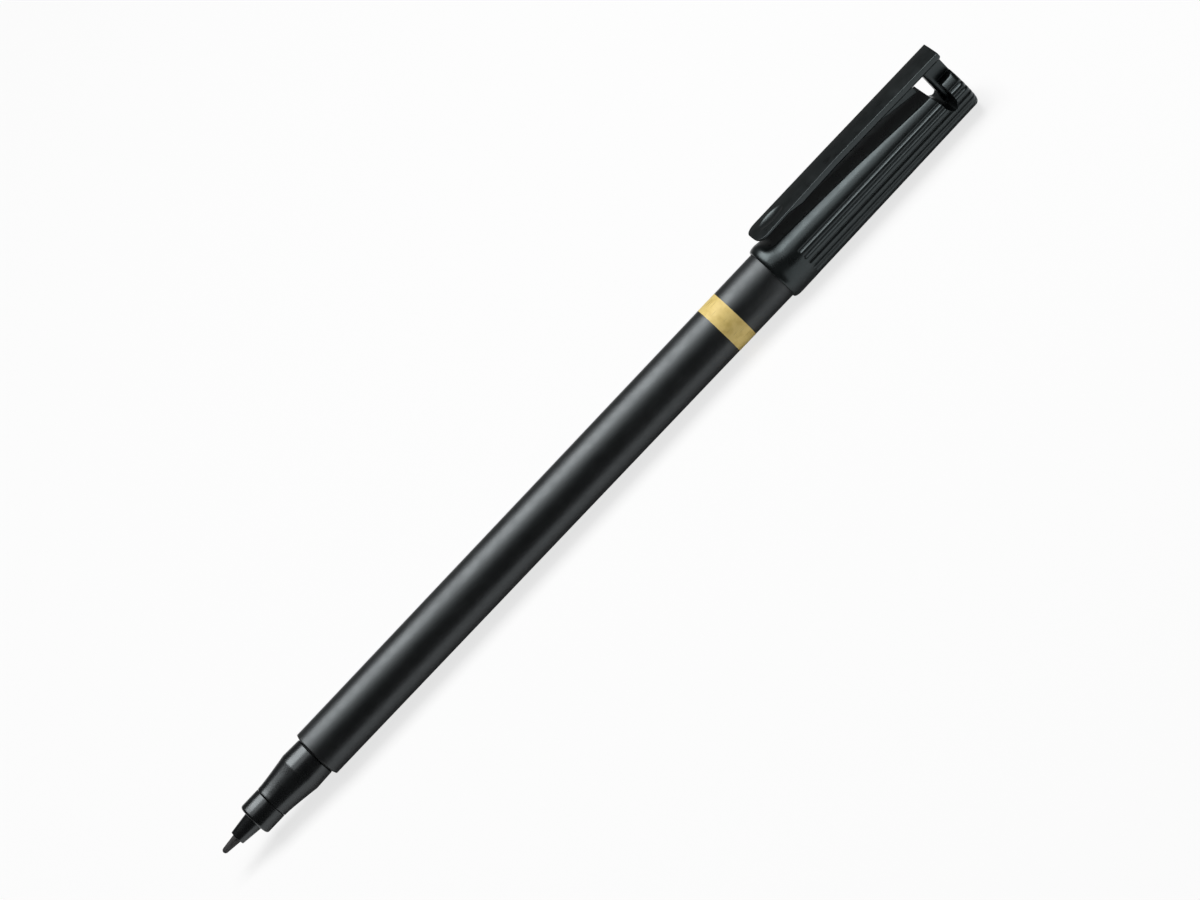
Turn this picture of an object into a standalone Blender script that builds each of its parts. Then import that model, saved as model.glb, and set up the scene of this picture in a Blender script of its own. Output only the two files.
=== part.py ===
"""Slim felt-tip marker lying on its side, with its cap pushed onto the rear end and its clip up.

The pen's axis runs along +X, from the nib to the cap, and +Z is up. The origin lies under the
middle of the pen, on the surface that the cap rests on. Stations along the pen are counted from
the nib's tip, and depths inside the cap from the cap's mouth. All sizes are in metres.
"""

import math

import bmesh
import bpy
from mathutils import Matrix

MM = 0.001
WELD = 0.001 * MM
SHARP_ANGLE = math.radians(30)

# Fits: what slides or turns, what is pushed in for good, and where pieces meet end to end
SLIDE_GAP = 0.08 * MM
PRESS_GAP = 0.05 * MM
FACE_GAP = 0.1 * MM
SEAL_GAP = 0.07 * MM
HINGE_GAP = 0.16 * MM

# Steps of round shapes
SIDES = 32
ROUND_STEPS = 4
FLARE_STEPS = 6
SMOOTH_SIDES = 20

# Fibre nib
NIB_RADIUS = 0.73 * MM
NIB_TIP_RADIUS = 0.46 * MM
NIB_EXPOSED = 2.9 * MM
NIB_BURIED = 6.0 * MM
NIB_HEEL = 0.6 * MM

# Nib holder: cone, collar and the stem behind them
HOLDER_MOUTH_RADIUS = 1.17 * MM
HOLDER_CONE_RADIUS = 1.58 * MM
HOLDER_CONE_LENGTH = 3.5 * MM
COLLAR_RADIUS = 2.72 * MM
COLLAR_LENGTH = 3.6 * MM
COLLAR_ROUND = 0.45 * MM
STEM_RADIUS = 1.9 * MM
STEM_LENGTH = 6.0 * MM

# Grip section: nose ring, flare, swell and the neck that meets the barrel
NOSE_RADIUS = 2.75 * MM
NOSE_LENGTH = 0.4 * MM
FLARE_LENGTH = 5.6 * MM
FLARE_POWER = 1.25
SWELL_RADIUS = 3.43 * MM
NECK_RADIUS = 3.33 * MM
NECK_LENGTH = 3.23 * MM
SPIGOT_LENGTH = 9.0 * MM

# Barrel: a long taper, then a short tail that the cap is pushed onto
BARREL_FRONT_RADIUS = 4.0 * MM
BARREL_FRONT_SLOPE = 0.25 * MM
BARREL_REAR_RADIUS = 4.22 * MM
BARREL_LENGTH = 106.5 * MM
BARREL_BORE_RADIUS = 3.2 * MM
TAIL_RADIUS = 3.95 * MM
TAIL_LENGTH = 10.0 * MM
TAIL_ROUND = 0.3 * MM

# Foil band let into the barrel
BAND_PLACE = 84.85 * MM
BAND_WIDTH = 3.42 * MM
BAND_THICKNESS = 0.1 * MM

# Ink reservoir's wrap and the plug behind it
FILM_WALL = 0.1 * MM
PLUG_RADIUS = 3.5 * MM
PLUG_HEAD = 1.0 * MM
PLUG_ROUND = 0.3 * MM
PLUG_SPIGOT = 6.0 * MM
PLUG_DIMPLE_RADIUS = 1.2 * MM
PLUG_DIMPLE_DEPTH = 0.3 * MM

# Cap: a taper from the mouth's lip to the rounded end
POSTED_DEPTH = 10.4 * MM
CAP_LENGTH = 39.3 * MM
CAP_MOUTH_RADIUS = 4.81 * MM
CAP_END_RADIUS = 4.45 * MM
CAP_END_ROUND = 0.8 * MM
LIP_LENGTH = 1.2 * MM
LIP_WALL = 0.12 * MM
REST_FLAT_DEPTH = 0.06 * MM
CHAMBER_RADIUS = 2.0 * MM
CHAMBER_LENGTH = 3.1 * MM
CAP_END_WALL = 2.2 * MM

# Flutes on the side of the cap away from the clip
FLUTE_COUNT = 17
FLUTE_PITCH = math.radians(13.85)
FLUTE_WIDTH = 0.62 * MM
FLUTE_DEPTH = 0.22 * MM
FLUTE_START = 4.6 * MM
FLUTE_RUN_IN = 0.6 * MM

# Inner cap that seals round the collar
LINER_LENGTH = 12.0 * MM
LINER_WALL = 0.6 * MM
LINER_END_RADIUS = 2.6 * MM
LINER_FLOOR = 0.8 * MM
LINER_SEAL_LENGTH = 4.0 * MM

# Head of the cap: the notch below it, the web and the pad that the clip grows from
HEAD_LENGTH = 2.8 * MM
WEB_WIDTH = 2.3 * MM
NOTCH_WIDTH = 2.1 * MM
NOTCH_FLARE = 1.0 * MM
NOTCH_FLOOR = 0.7 * MM
NOTCH_ROUND = 1.8 * MM
ROOT_SETBACK = 0.1 * MM

# Saddle under the clip: a flat that slopes down to the cap's end, with a round shoulder on each side
SADDLE_START = 1.4 * MM
SADDLE_FRONT_DEPTH = 0.32 * MM
SADDLE_END_DEPTH = 0.98 * MM
SHOULDER_ANGLE = math.radians(62)

# Facet that is cut deeper into the saddle towards the notch, and the head's flat behind the notch
FACET_START = 16.0 * MM
FACET_RUN_OUT = 2.0 * MM
FACET_DEPTH = 0.66 * MM
HEAD_FLAT_DEPTH = 0.3 * MM

# Clip: heights are of its outer face above the pen's axis
CLIP_MARGIN = 1.7 * MM
CLIP_TIP_HEIGHT = 6.66 * MM
CLIP_WAIST_HEIGHT = 6.88 * MM
CLIP_ROOT_HEIGHT = 6.8 * MM
CLIP_TIP_WIDTH = 5.4 * MM
CLIP_WAIST_WIDTH = 4.6 * MM
CLIP_ROOT_WIDTH = 4.85 * MM
CLIP_CORNER = 1.8 * MM
CLIP_WAIST_PLACE = 18.0 * MM
CLIP_THICKNESS = 1.3 * MM
CLIP_LIP_THICKNESS = 0.65 * MM
CLIP_LIP_LENGTH = 6.25 * MM
CLIP_STEP_LENGTH = 2.4 * MM
RIB_WIDTH = 2.3 * MM
RIB_LENGTH = 9.5 * MM
RIB_CLEARANCE = 1.15 * MM

# Stations that the sizes above lead to
HOLDER_MOUTH = NIB_EXPOSED
COLLAR_FRONT = HOLDER_MOUTH + HOLDER_CONE_LENGTH
COLLAR_REAR = COLLAR_FRONT + COLLAR_LENGTH
SECTION_FRONT = COLLAR_REAR + FACE_GAP
SWELL = SECTION_FRONT + NOSE_LENGTH + FLARE_LENGTH
NECK_END = SWELL + NECK_LENGTH
BARREL_FRONT = NECK_END + FACE_GAP
SPIGOT_END = BARREL_FRONT + SPIGOT_LENGTH
BARREL_REAR = BARREL_FRONT + BARREL_LENGTH
TAIL_START = BARREL_REAR - TAIL_LENGTH
RESERVOIR_FRONT = SPIGOT_END + FACE_GAP
PLUG_FRONT = BARREL_REAR - PLUG_SPIGOT
RESERVOIR_REAR = PLUG_FRONT - FACE_GAP
CAP_MOUTH = BARREL_REAR - POSTED_DEPTH
OVERALL_LENGTH = CAP_MOUTH + CAP_LENGTH

# Depths in the cap
HEAD_FRONT = CAP_LENGTH - HEAD_LENGTH
NOTCH_FRONT = HEAD_FRONT - NOTCH_WIDTH
CLIP_REAR = HEAD_FRONT - HINGE_GAP
CHAMBER_END = NOTCH_FRONT - CAP_END_WALL
LINER_END = CHAMBER_END - CHAMBER_LENGTH - FACE_GAP
LINER_DEPTH = LINER_END - LINER_LENGTH
LINER_BORE = COLLAR_RADIUS + SEAL_GAP
LINER_RADIUS = LINER_BORE + LINER_WALL
BAND_GROOVE = BAND_THICKNESS + PRESS_GAP
REST_HEIGHT = CAP_MOUTH_RADIUS - REST_FLAT_DEPTH
RESERVOIR_RADIUS = BARREL_BORE_RADIUS - 2 * PRESS_GAP - FILM_WALL


def barrel_radius(station):
    """Outer radius of the barrel's long taper and of its tail."""
    if station <= TAIL_START:
        share = (station - BARREL_FRONT) / (TAIL_START - BARREL_FRONT)
        return BARREL_FRONT_RADIUS + share * (BARREL_REAR_RADIUS - BARREL_FRONT_RADIUS)
    share = (station - TAIL_START) / TAIL_LENGTH
    return BARREL_REAR_RADIUS + share * (TAIL_RADIUS - BARREL_REAR_RADIUS)


def cap_radius(depth):
    """Outer radius of the cap behind its lip, over the lands between the flutes."""
    share = (depth - LIP_LENGTH) / (CAP_LENGTH - LIP_LENGTH)
    return CAP_MOUTH_RADIUS + share * (CAP_END_RADIUS - CAP_MOUTH_RADIUS)


def saddle_height(depth):
    """Height above the axis of the flat under the clip."""
    start = CAP_MOUTH_RADIUS - SADDLE_FRONT_DEPTH
    end = CAP_END_RADIUS - SADDLE_END_DEPTH
    return start + (end - start) * depth / CAP_LENGTH


def facet_height(depth):
    """Height above the axis of the facet, which leaves the saddle's flat where the facet starts."""
    share = (depth - FACET_START) / (NOTCH_FRONT - FACET_START)
    return saddle_height(depth) - share * FACET_DEPTH


def saddle_reach(angle, depth, radius):
    """Distance from the axis to the saddle, at an angle from the clip's side where the cap is not round."""
    height = saddle_height(depth)
    round_height = radius * math.cos(SHOULDER_ANGLE)
    bend = (height - round_height) / (1 - math.cos(SHOULDER_ANGLE))
    bend_middle = (radius - bend) * math.sin(SHOULDER_ANGLE)
    if height * math.tan(angle) <= bend_middle:
        return height / math.cos(angle)
    along = (radius - bend) * math.cos(SHOULDER_ANGLE - angle)
    return along + math.sqrt(along ** 2 - (radius - bend) ** 2 + bend ** 2)


def corner(x, radius, width, reach, start):
    """Points of a quarter of an ellipse about (x, radius), from the angle start on, clockwise."""
    angles = [start - math.pi / 2 * step / ROUND_STEPS for step in range(ROUND_STEPS + 1)]
    return [(x + width * math.cos(angle), radius + reach * math.sin(angle)) for angle in angles]


def plastic(name, colour, roughness, metallic=0.0):
    material = bpy.data.materials.new(name)
    material.use_nodes = True
    shader = material.node_tree.nodes["Principled BSDF"]
    shader.inputs["Base Color"].default_value = (*colour, 1.0)
    shader.inputs["Roughness"].default_value = roughness
    shader.inputs["Metallic"].default_value = metallic
    return material


def add_object(name, work, parent, material=None):
    """Turns a bmesh into an object under its parent; without a material it is a cutter."""
    bmesh.ops.recalc_face_normals(work, faces=work.faces)
    mesh = bpy.data.meshes.new(name)
    work.to_mesh(mesh)
    work.free()
    mesh.shade_smooth()
    mesh.set_sharp_from_angle(angle=SHARP_ANGLE)
    piece = bpy.data.objects.new(name, mesh)
    bpy.context.scene.collection.objects.link(piece)
    piece.parent = parent
    if material:
        mesh.materials.append(material)
    else:
        piece.hide_render = True
        piece.display_type = "WIRE"
    return piece


def add_empty(name, place, parent=None):
    empty = bpy.data.objects.new(name, None)
    bpy.context.scene.collection.objects.link(empty)
    empty.location = place
    empty.parent = parent
    return empty


def turned(name, outline, parent, material):
    """A piece turned about the pen's axis; an outline that leaves the axis is closed into a ring."""
    work = bmesh.new()
    points = [work.verts.new((x, 0.0, radius)) for x, radius in outline]
    edges = [work.edges.new(pair) for pair in zip(points, points[1:])]
    if outline[0][1] > 0:
        edges.append(work.edges.new((points[-1], points[0])))
    flat_down = Matrix.Rotation(math.pi / SIDES, 3, "X")
    bmesh.ops.rotate(work, verts=points, cent=(0, 0, 0), matrix=flat_down)
    bmesh.ops.spin(work, geom=points + edges, cent=(0, 0, 0), axis=(1, 0, 0),
                   angle=math.tau, steps=SIDES)
    bmesh.ops.remove_doubles(work, verts=work.verts, dist=WELD)
    return add_object(name, work, parent, material)


def lofted(name, rings, parent, material=None):
    """A piece skinned over closed rings of points, with a flat face at each end."""
    work = bmesh.new()
    loops = [[work.verts.new(point) for point in ring] for ring in rings]
    for front, back in zip(loops, loops[1:]):
        for number in range(len(front)):
            after = (number + 1) % len(front)
            work.faces.new((front[number], front[after], back[after], back[number]))
    work.faces.new(reversed(loops[0]))
    work.faces.new(loops[-1])
    return add_object(name, work, parent, material)


def side_prism(name, outline, width, parent):
    """A cutter or filler: a side outline of (x, z) points, as wide as width across the pen."""
    rings = [[(x, y, z) for x, z in outline] for y in (-width / 2, width / 2)]
    return lofted(name, rings, parent)


def combine(piece, tool, operation):
    change = piece.modifiers.new(tool.name, "BOOLEAN")
    change.operation = operation
    change.object = tool
    change.solver = "EXACT"


def build_nib(pen):
    end = RESERVOIR_FRONT + NIB_BURIED
    tip = corner(NIB_TIP_RADIUS, 0.0, NIB_TIP_RADIUS, NIB_TIP_RADIUS, math.pi)
    tip[0] = (0.0, 0.0)
    outline = tip + [
        (NIB_EXPOSED, NIB_RADIUS),
        (end - NIB_HEEL, NIB_RADIUS),
        (end, NIB_TIP_RADIUS),
        (end, 0.0),
    ]
    turned("nib", outline, pen, plastic("nib_felt", (0.03, 0.03, 0.032), 0.85))


def build_nib_holder(pen):
    bore = NIB_RADIUS + PRESS_GAP
    stem_end = COLLAR_REAR + STEM_LENGTH
    shoulder = corner(COLLAR_FRONT + COLLAR_ROUND, COLLAR_RADIUS - COLLAR_ROUND,
                      COLLAR_ROUND, COLLAR_ROUND, math.pi)
    outline = [
        (HOLDER_MOUTH, bore),
        (HOLDER_MOUTH, HOLDER_MOUTH_RADIUS),
        (COLLAR_FRONT, HOLDER_CONE_RADIUS),
        *shoulder,
        (COLLAR_REAR, COLLAR_RADIUS),
        (COLLAR_REAR, STEM_RADIUS),
        (stem_end, STEM_RADIUS),
        (stem_end, bore),
    ]
    turned("nib_holder", outline, pen, plastic("holder_plastic", (0.008, 0.008, 0.0085), 0.3))


def build_grip_section(pen):
    bore = STEM_RADIUS + PRESS_GAP
    spigot = BARREL_BORE_RADIUS - PRESS_GAP
    flare_start = SECTION_FRONT + NOSE_LENGTH
    shares = [step / FLARE_STEPS for step in range(FLARE_STEPS + 1)]
    rise = SWELL_RADIUS - NOSE_RADIUS
    flare = [
        (flare_start + share * FLARE_LENGTH, NOSE_RADIUS + rise * share ** FLARE_POWER)
        for share in shares
    ]
    outline = [
        (SECTION_FRONT, bore),
        (SECTION_FRONT, NOSE_RADIUS),
        *flare,
        (NECK_END, NECK_RADIUS),
        (NECK_END, spigot),
        (SPIGOT_END, spigot),
        (SPIGOT_END, bore),
    ]
    turned("grip_section", outline, pen, plastic("section_plastic", (0.008, 0.008, 0.0085), 0.3))


def build_barrel(pen):
    band_start = BARREL_FRONT + BAND_PLACE
    band_end = band_start + BAND_WIDTH
    groove_start = band_start - PRESS_GAP
    groove_end = band_end + PRESS_GAP
    slope_end = BARREL_FRONT + BARREL_FRONT_SLOPE
    end_corner = corner(BARREL_REAR - TAIL_ROUND, TAIL_RADIUS - TAIL_ROUND,
                        TAIL_ROUND, TAIL_ROUND, math.pi / 2)
    outline = [
        (BARREL_FRONT, BARREL_BORE_RADIUS),
        (BARREL_FRONT, NECK_RADIUS),
        (slope_end, barrel_radius(slope_end)),
        (groove_start, barrel_radius(groove_start)),
        (groove_start, barrel_radius(groove_start) - BAND_GROOVE),
        (groove_end, barrel_radius(groove_end) - BAND_GROOVE),
        (groove_end, barrel_radius(groove_end)),
        (TAIL_START, BARREL_REAR_RADIUS),
        *end_corner,
        (BARREL_REAR, BARREL_BORE_RADIUS),
    ]
    turned("barrel", outline, pen, plastic("barrel_plastic", (0.01, 0.0105, 0.011), 0.42))
    band = [
        (band_start, barrel_radius(band_start) - BAND_THICKNESS),
        (band_start, barrel_radius(band_start)),
        (band_end, barrel_radius(band_end)),
        (band_end, barrel_radius(band_end) - BAND_THICKNESS),
    ]
    turned("foil_band", band, pen, plastic("gold_foil", (0.66, 0.5, 0.16), 0.35, 1.0))


def build_ink_supply(pen):
    hole = NIB_RADIUS + PRESS_GAP
    hole_end = RESERVOIR_FRONT + NIB_BURIED + FACE_GAP
    core = [
        (hole_end, 0.0),
        (hole_end, hole),
        (RESERVOIR_FRONT, hole),
        (RESERVOIR_FRONT, RESERVOIR_RADIUS),
        (RESERVOIR_REAR, RESERVOIR_RADIUS),
        (RESERVOIR_REAR, 0.0),
    ]
    turned("ink_reservoir", core, pen, plastic("inked_fibre", (0.02, 0.02, 0.03), 0.9))
    inside = RESERVOIR_RADIUS + PRESS_GAP
    film = [
        (RESERVOIR_FRONT, inside),
        (RESERVOIR_FRONT, inside + FILM_WALL),
        (RESERVOIR_REAR, inside + FILM_WALL),
        (RESERVOIR_REAR, inside),
    ]
    turned("reservoir_film", film, pen, plastic("wrap_film", (0.55, 0.56, 0.58), 0.35))


def build_end_plug(pen):
    spigot = BARREL_BORE_RADIUS - PRESS_GAP
    head_front = BARREL_REAR + FACE_GAP
    head_rear = head_front + PLUG_HEAD
    end_corner = corner(head_rear - PLUG_ROUND, PLUG_RADIUS - PLUG_ROUND,
                        PLUG_ROUND, PLUG_ROUND, math.pi / 2)
    outline = [
        (PLUG_FRONT, 0.0),
        (PLUG_FRONT, spigot),
        (head_front, spigot),
        (head_front, PLUG_RADIUS),
        *end_corner,
        (head_rear, PLUG_DIMPLE_RADIUS),
        (head_rear - PLUG_DIMPLE_DEPTH, PLUG_DIMPLE_RADIUS),
        (head_rear - PLUG_DIMPLE_DEPTH, 0.0),
    ]
    turned("end_plug", outline, pen, plastic("plug_plastic", (0.008, 0.008, 0.0085), 0.38))


def build_cap_liner(cap):
    inner_end = LINER_END - LINER_FLOOR
    inner_end_radius = LINER_END_RADIUS - LINER_WALL
    outline = [
        (inner_end, 0.0),
        (inner_end, inner_end_radius),
        (LINER_DEPTH + LINER_SEAL_LENGTH, LINER_BORE),
        (LINER_DEPTH, LINER_BORE),
        (LINER_DEPTH, LINER_RADIUS),
        (LINER_DEPTH + LINER_SEAL_LENGTH, LINER_RADIUS),
        (LINER_END, LINER_END_RADIUS),
        (LINER_END, 0.0),
    ]
    turned("cap_liner", outline, cap, plastic("liner_plastic", (0.72, 0.72, 0.7), 0.5))


def cap_directions():
    """Angles round the cap from the clip's side, each with its share of a flute's depth."""
    half = math.asin(FLUTE_WIDTH / 2 / CAP_MOUTH_RADIUS)
    directions = []
    for number in range(FLUTE_COUNT):
        middle = math.pi + (number - (FLUTE_COUNT - 1) / 2) * FLUTE_PITCH
        directions += [(middle - half, 0.0), (middle, 1.0), (middle + half, 0.0)]
    start = directions[-1][0]
    sweep = directions[0][0] + math.tau - start
    for number in range(1, SMOOTH_SIDES):
        directions.append((start + sweep * number / SMOOTH_SIDES, 0.0))
    return directions


def cap_bore():
    """Depths and radii of the cap's inside, from its mouth inwards."""
    stops = sorted({CAP_MOUTH, max(CAP_MOUTH, TAIL_START), BARREL_REAR})
    bore = [(station - CAP_MOUTH, barrel_radius(station) + SLIDE_GAP) for station in stops]
    seat_end = LINER_END + FACE_GAP
    return bore + [
        (LINER_DEPTH, LINER_RADIUS + SLIDE_GAP),
        (LINER_DEPTH + LINER_SEAL_LENGTH, LINER_RADIUS + SLIDE_GAP),
        (seat_end, LINER_END_RADIUS + SLIDE_GAP),
        (seat_end, CHAMBER_RADIUS),
        (CHAMBER_END, CHAMBER_RADIUS),
    ]


def cap_ring(directions, depth, radius, flute, saddle):
    """Points round the cap at a depth, no lower than the slight flat that it rests on."""
    ring = []
    for angle, share in directions:
        reach = radius - share * flute
        from_clip = abs(math.remainder(angle, math.tau))
        if saddle and from_clip < SHOULDER_ANGLE:
            reach = min(radius, saddle_reach(from_clip, depth, radius))
        ring.append((depth, reach * math.sin(angle), max(reach * math.cos(angle), -REST_HEIGHT)))
    return ring


def build_cap_shell(cap):
    bore = cap_bore()
    lip_radius = bore[0][1] + LIP_WALL
    lip = corner(LIP_LENGTH, lip_radius, LIP_LENGTH, CAP_MOUTH_RADIUS - lip_radius, math.pi)
    fluted = FLUTE_START + FLUTE_RUN_IN
    round_start = CAP_LENGTH - CAP_END_ROUND
    end = corner(round_start, cap_radius(round_start) - CAP_END_ROUND,
                 CAP_END_ROUND, CAP_END_ROUND, math.pi / 2)
    stops = [(depth, radius, 0.0, False) for depth, radius in reversed(bore)]
    stops += [(depth, radius, 0.0, False) for depth, radius in lip]
    stops.append((SADDLE_START, cap_radius(SADDLE_START), 0.0, True))
    stops.append((FLUTE_START, cap_radius(FLUTE_START), 0.0, True))
    stops.append((fluted, cap_radius(fluted), FLUTE_DEPTH, True))
    stops += [(depth, radius, FLUTE_DEPTH, True) for depth, radius in end]
    directions = cap_directions()
    rings = [cap_ring(directions, *stop) for stop in stops]
    shell = lofted("cap_shell", rings, cap, plastic("cap_plastic", (0.009, 0.01, 0.0095), 0.5))

    clear = 4 * CAP_MOUTH_RADIUS
    head_flat = saddle_height(CAP_LENGTH) - HEAD_FLAT_DEPTH
    run_out = FACET_START - FACET_RUN_OUT
    facet_outline = [
        (run_out, facet_height(run_out)),
        (NOTCH_FRONT, facet_height(NOTCH_FRONT)),
        (HEAD_FRONT, head_flat),
        (CAP_LENGTH + clear, head_flat),
        (CAP_LENGTH + clear, clear),
        (run_out, clear),
    ]
    combine(shell, side_prism("facet_cutter", facet_outline, clear, cap), "DIFFERENCE")

    pad_top = CLIP_ROOT_HEIGHT
    pad_under = CLIP_ROOT_HEIGHT - CLIP_THICKNESS
    pad = CLIP_ROOT_WIDTH / 2
    web = WEB_WIDTH / 2
    section = [(-pad, pad_top), (pad, pad_top), (pad, pad_under), (web, pad_under),
               (web, 0.0), (-web, 0.0), (-web, pad_under), (-pad, pad_under)]
    root_ends = (HEAD_FRONT, CAP_LENGTH - ROOT_SETBACK)
    root_rings = [[(x, y, z) for y, z in section] for x in root_ends]
    combine(shell, lofted("clip_root", root_rings, cap), "UNION")

    arc_radius = NOTCH_WIDTH / 2
    arc_height = NOTCH_ROUND - NOTCH_FLOOR
    floor = [
        (NOTCH_FRONT + arc_radius * (1 - math.cos(angle)), arc_height - NOTCH_ROUND * math.sin(angle))
        for angle in [math.pi * step / (2 * ROUND_STEPS) for step in range(2 * ROUND_STEPS + 1)]
    ]
    notch_outline = [*floor, (HEAD_FRONT, pad_under), (NOTCH_FRONT - NOTCH_FLARE, pad_under)]
    combine(shell, side_prism("notch_cutter", notch_outline, clear, cap), "DIFFERENCE")


def clip_section(depth, width, top, thickness):
    """A cross-section of the clip's plate, about the hinge at its root."""
    hinge_depth, hinge_height = clip_hinge()
    x = depth - hinge_depth
    high = top - hinge_height
    low = high - thickness
    return [(x, -width / 2, low), (x, width / 2, low), (x, width / 2, high), (x, -width / 2, high)]


def clip_hinge():
    """Depth and height of the thin neck that the clip bends about."""
    return HEAD_FRONT - HINGE_GAP / 2, CLIP_ROOT_HEIGHT - CLIP_THICKNESS / 2


def clip_top(depth):
    if depth < CLIP_WAIST_PLACE:
        share = (depth - CLIP_MARGIN) / (CLIP_WAIST_PLACE - CLIP_MARGIN)
        return CLIP_TIP_HEIGHT + share * (CLIP_WAIST_HEIGHT - CLIP_TIP_HEIGHT)
    share = (depth - CLIP_WAIST_PLACE) / (HEAD_FRONT - CLIP_WAIST_PLACE)
    return CLIP_WAIST_HEIGHT + share * (CLIP_ROOT_HEIGHT - CLIP_WAIST_HEIGHT)


def clip_width(depth):
    if depth < CLIP_WAIST_PLACE:
        share = (depth - CLIP_MARGIN) / (CLIP_WAIST_PLACE - CLIP_MARGIN)
        width = CLIP_TIP_WIDTH + share * (CLIP_WAIST_WIDTH - CLIP_TIP_WIDTH)
    else:
        share = (depth - CLIP_WAIST_PLACE) / (HEAD_FRONT - CLIP_WAIST_PLACE)
        width = CLIP_WAIST_WIDTH + share * (CLIP_ROOT_WIDTH - CLIP_WAIST_WIDTH)
    left = min(CLIP_MARGIN + CLIP_CORNER - depth, CLIP_CORNER)
    if left > 0:
        width -= 2 * (CLIP_CORNER - math.sqrt(CLIP_CORNER ** 2 - left ** 2))
    return width


def build_clip(cap):
    hinge_depth, hinge_height = clip_hinge()
    hinge = add_empty("clip_hinge", (hinge_depth, 0.0, hinge_height), cap)
    rounding = [math.pi / 2 * step / ROUND_STEPS for step in range(ROUND_STEPS + 1)]
    depths = [CLIP_MARGIN + CLIP_CORNER * (1 - math.cos(angle)) for angle in rounding]
    lip_end = CLIP_MARGIN + CLIP_LIP_LENGTH
    step_end = lip_end + CLIP_STEP_LENGTH
    depths += [lip_end, step_end, CLIP_WAIST_PLACE, CLIP_REAR]
    rings = []
    for depth in sorted(depths):
        share = min(max((depth - lip_end) / CLIP_STEP_LENGTH, 0.0), 1.0)
        thickness = CLIP_LIP_THICKNESS + share * (CLIP_THICKNESS - CLIP_LIP_THICKNESS)
        rings.append(clip_section(depth, clip_width(depth), clip_top(depth), thickness))
    clip = lofted("clip", rings, hinge, plastic("clip_plastic", (0.009, 0.01, 0.0095), 0.45))

    rib_end = NOTCH_FRONT - NOTCH_FLARE
    rib_start = rib_end - RIB_LENGTH
    rib_outline = [
        (rib_start - hinge_depth, clip_top(rib_start) - CLIP_THICKNESS - hinge_height),
        (rib_end - hinge_depth, facet_height(rib_end) + RIB_CLEARANCE - hinge_height),
        (rib_end - hinge_depth, clip_top(rib_end) - CLIP_THICKNESS / 2 - hinge_height),
        (rib_start - hinge_depth, clip_top(rib_start) - CLIP_THICKNESS / 2 - hinge_height),
    ]
    combine(clip, side_prism("clip_rib", rib_outline, RIB_WIDTH, hinge), "UNION")


def main():
    for old in list(bpy.data.objects):
        bpy.data.objects.remove(old)
    pen = add_empty("pen_axis", (-OVERALL_LENGTH / 2, 0.0, REST_HEIGHT))
    cap = add_empty("cap_seat", (CAP_MOUTH, 0.0, 0.0), pen)
    build_nib(pen)
    build_nib_holder(pen)
    build_grip_section(pen)
    build_barrel(pen)
    build_ink_supply(pen)
    build_end_plug(pen)
    build_cap_liner(cap)
    build_cap_shell(cap)
    build_clip(cap)
    bpy.context.view_layer.update()


main()
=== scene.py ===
"""Dresses the felt-tip marker with fine pieces and finishes, and lights it as in the photograph.

The pen's axis runs along +X, from the nib to the cap's closed end, with the clip up and the floor
at z = 0. Stations are places along X. All sizes are in metres, written in millimetres times MM.
"""

import math

import bmesh
import bpy
from mathutils import Matrix, Vector


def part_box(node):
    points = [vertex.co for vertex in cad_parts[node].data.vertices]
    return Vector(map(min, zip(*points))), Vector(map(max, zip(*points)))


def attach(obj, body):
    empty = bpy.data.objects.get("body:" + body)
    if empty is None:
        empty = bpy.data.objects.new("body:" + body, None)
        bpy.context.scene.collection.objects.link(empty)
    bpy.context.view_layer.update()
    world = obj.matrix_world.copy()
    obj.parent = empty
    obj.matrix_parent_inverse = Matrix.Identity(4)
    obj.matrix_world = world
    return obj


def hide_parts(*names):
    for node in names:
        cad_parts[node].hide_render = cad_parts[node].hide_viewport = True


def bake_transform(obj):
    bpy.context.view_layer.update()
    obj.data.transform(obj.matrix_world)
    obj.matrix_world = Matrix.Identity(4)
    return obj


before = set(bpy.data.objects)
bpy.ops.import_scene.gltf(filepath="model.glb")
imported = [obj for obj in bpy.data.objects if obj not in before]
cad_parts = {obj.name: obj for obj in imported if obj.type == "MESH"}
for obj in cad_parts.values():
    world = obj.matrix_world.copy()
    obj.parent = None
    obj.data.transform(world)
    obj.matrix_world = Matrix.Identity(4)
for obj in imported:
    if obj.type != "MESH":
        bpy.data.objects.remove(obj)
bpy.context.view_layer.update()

MM = 0.001
WELD = 0.0005 * MM


def span(node):
    """Stations where a node of the frame starts and ends."""
    low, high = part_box(node)
    return low.x, high.x


# Places that the frame gives
AXIS = sum(corner.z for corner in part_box("barrel")) / 2
NIB_FRONT, NIB_REAR = span("nib")
HOLDER_FRONT, HOLDER_REAR = span("nib_holder")
SECTION_FRONT, SECTION_REAR = span("grip_section")
BARREL_FRONT, BARREL_REAR = span("barrel")
BAND_FRONT, BAND_REAR = span("foil_band")
PLUG_FRONT, PLUG_REAR = span("end_plug")
LINER_FRONT, LINER_REAR = span("cap_liner")
CAP_FRONT, CAP_REAR = span("cap_shell")
CLIP_FRONT, CLIP_REAR = span("clip")

# Steps of round shapes
SIDES = 128
ARC_STEPS = 6
FLARE_STEPS = 16

# Edges sharper than these are rounded, or kept sharp in the shading
ROUNDED_ANGLE = math.radians(40)
SHADED_ANGLE = math.radians(32)
CAP_SHADED_ANGLE = math.radians(40)

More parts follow.
